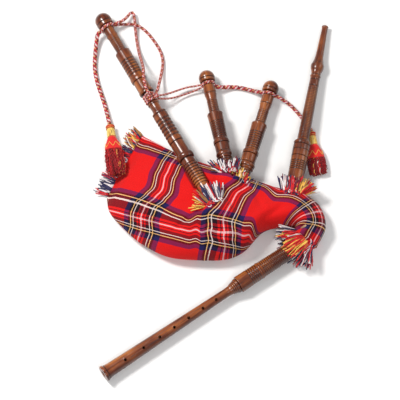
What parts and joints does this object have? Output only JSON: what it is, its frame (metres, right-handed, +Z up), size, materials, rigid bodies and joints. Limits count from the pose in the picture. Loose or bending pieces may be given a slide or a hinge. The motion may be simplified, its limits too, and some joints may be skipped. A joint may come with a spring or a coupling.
{
  "type": "bagpipes",
  "caption": "Bagpipes lying flat: tartan covered bag, turned wooden drones, blowpipe and chanter, fringed seams, drone cord with silk tassels.",
  "frame": {"origin": "on the flat underside of the bag, at floor level, near the middle of the bag", "axes": "+Z up; +Y from the chanter's sole towards the drone caps, along the instrument's longest extent; +X towards the blowpipe side"},
  "size_m": [0.3584, 0.5919, 0.0672],
  "materials": {
    "rosewood": "varnished",
    "tartan": "woven",
    "hide": "matt",
    "waxed_cord": "waxed",
    "yarn": "loose yarn",
    "hemp": "waxed",
    "cane": "raw",
    "staple": "satin",
    "valve_seat": "matt",
    "valve_flap": "matt",
    "drone_cord": "braided",
    "red_silk": "silk",
    "yellow_silk": "silk",
    "red_felt": "felt",
    "maroon_silk": "silk strands"
  },
  "bodies": {
    "bag": {"bass_stock": "rosewood", "bass_bottom_section": "rosewood", "bass_hemp": "hemp", "bass_reed": "cane", "bass_ruff": "yarn", "tenor_left_stock": "rosewood", "tenor_left_bottom_section": "rosewood", "tenor_left_hemp": "hemp", "tenor_left_reed": "cane", "tenor_left_ruff": "yarn", "tenor_right_stock": "rosewood", "tenor_right_bottom_section": "rosewood", "tenor_right_hemp": "hemp", "tenor_right_reed": "cane", "tenor_right_ruff": "yarn", "blowpipe_stock": "rosewood", "valve_seat": "valve_seat", "blowpipe_ruff": "yarn", "bag_cover": "tartan", "air_bag": "hide", "stock_bindings": "waxed_cord", "tail_fringe": "yarn", "cord_knot": "drone_cord", "cord_tail_left": "drone_cord", "cord_strand_a": "drone_cord", "cord_strand_b": "drone_cord", "cord_thin_a": "drone_cord", "cord_thin_b": "drone_cord", "cord_span": "drone_cord", "cord_tail_right": "drone_cord", "tassel_left_knob": "red_silk", "tassel_left_sleeve": "yellow_silk", "tassel_left_head": "red_felt", "tassel_left_skirt": "maroon_silk", "tassel_right_knob": "red_silk", "tassel_right_sleeve": "yellow_silk", "tassel_right_head": "red_felt", "tassel_right_skirt": "maroon_silk"},
    "bass_top": {"bass_top_section": "rosewood", "bass_cap": "rosewood", "cord_wrap_bass": "drone_cord"},
    "tenor_left_top": {"tenor_left_top_section": "rosewood", "tenor_left_cap": "rosewood", "cord_wrap_tenor_left": "drone_cord"},
    "tenor_right_top": {"tenor_right_top_section": "rosewood", "tenor_right_cap": "rosewood", "cord_wrap_tenor_right": "drone_cord"},
    "blowpipe": {"blowpipe": "rosewood", "blowpipe_hemp": "hemp"},
    "mouthpiece": {"mouthpiece": "rosewood"},
    "valve_flap": {"valve_flap": "valve_flap"},
    "chanter_unit": {"chanter_stock": "rosewood", "neck_cover": "tartan", "neck_liner": "hide", "chanter_binding": "waxed_cord", "chanter_ruff": "yarn"},
    "chanter": {"chanter": "rosewood", "chanter_hemp": "hemp", "chanter_reed_staple": "staple", "chanter_reed_blades": "cane"}
  },
  "joints": [
    {"name": "bass_tuning_slide", "type": "slide", "parent": "bag", "child": "bass_top", "axis": [-0.4747, 0.8745, -0.0991], "range_m": [0, 0.018]},
    {"name": "tenor_left_tuning_slide", "type": "slide", "parent": "bag", "child": "tenor_left_top", "axis": [-0.1937, 0.9719, -0.1337], "range_m": [0, 0.015]},
    {"name": "tenor_right_tuning_slide", "type": "slide", "parent": "bag", "child": "tenor_right_top", "axis": [0.273, 0.9582, -0.0862], "range_m": [0, 0.015]},
    {"name": "blowpipe_swivel", "type": "hinge", "parent": "bag", "child": "blowpipe", "pos_m": [0.1435, 0.06692, 0.0219], "axis": [0.1832, 0.9806, -0.07], "continuous": true},
    {"name": "mouthpiece_slide", "type": "slide", "parent": "blowpipe", "child": "mouthpiece", "axis": [0.1832, 0.9806, -0.07], "range_m": [0, 0.01]},
    {"name": "valve_flap_hinge", "type": "hinge", "parent": "bag", "child": "valve_flap", "pos_m": [0.12818, -0.01509, 0.03738], "axis": [-0.983, 0.1836, 0], "range_deg": [0, 50]},
    {"name": "neck_bend", "type": "hinge", "parent": "bag", "child": "chanter_unit", "pos_m": [0.1812, -0.0482, 0.02], "axis": [0, 0, 1], "range_deg": [0, 25]},
    {"name": "chanter_swivel", "type": "hinge", "parent": "chanter_unit", "child": "chanter", "pos_m": [0.05701, -0.13543, 0.01618], "axis": [-0.8212, -0.5705, -0.0118], "continuous": true}
  ]
}
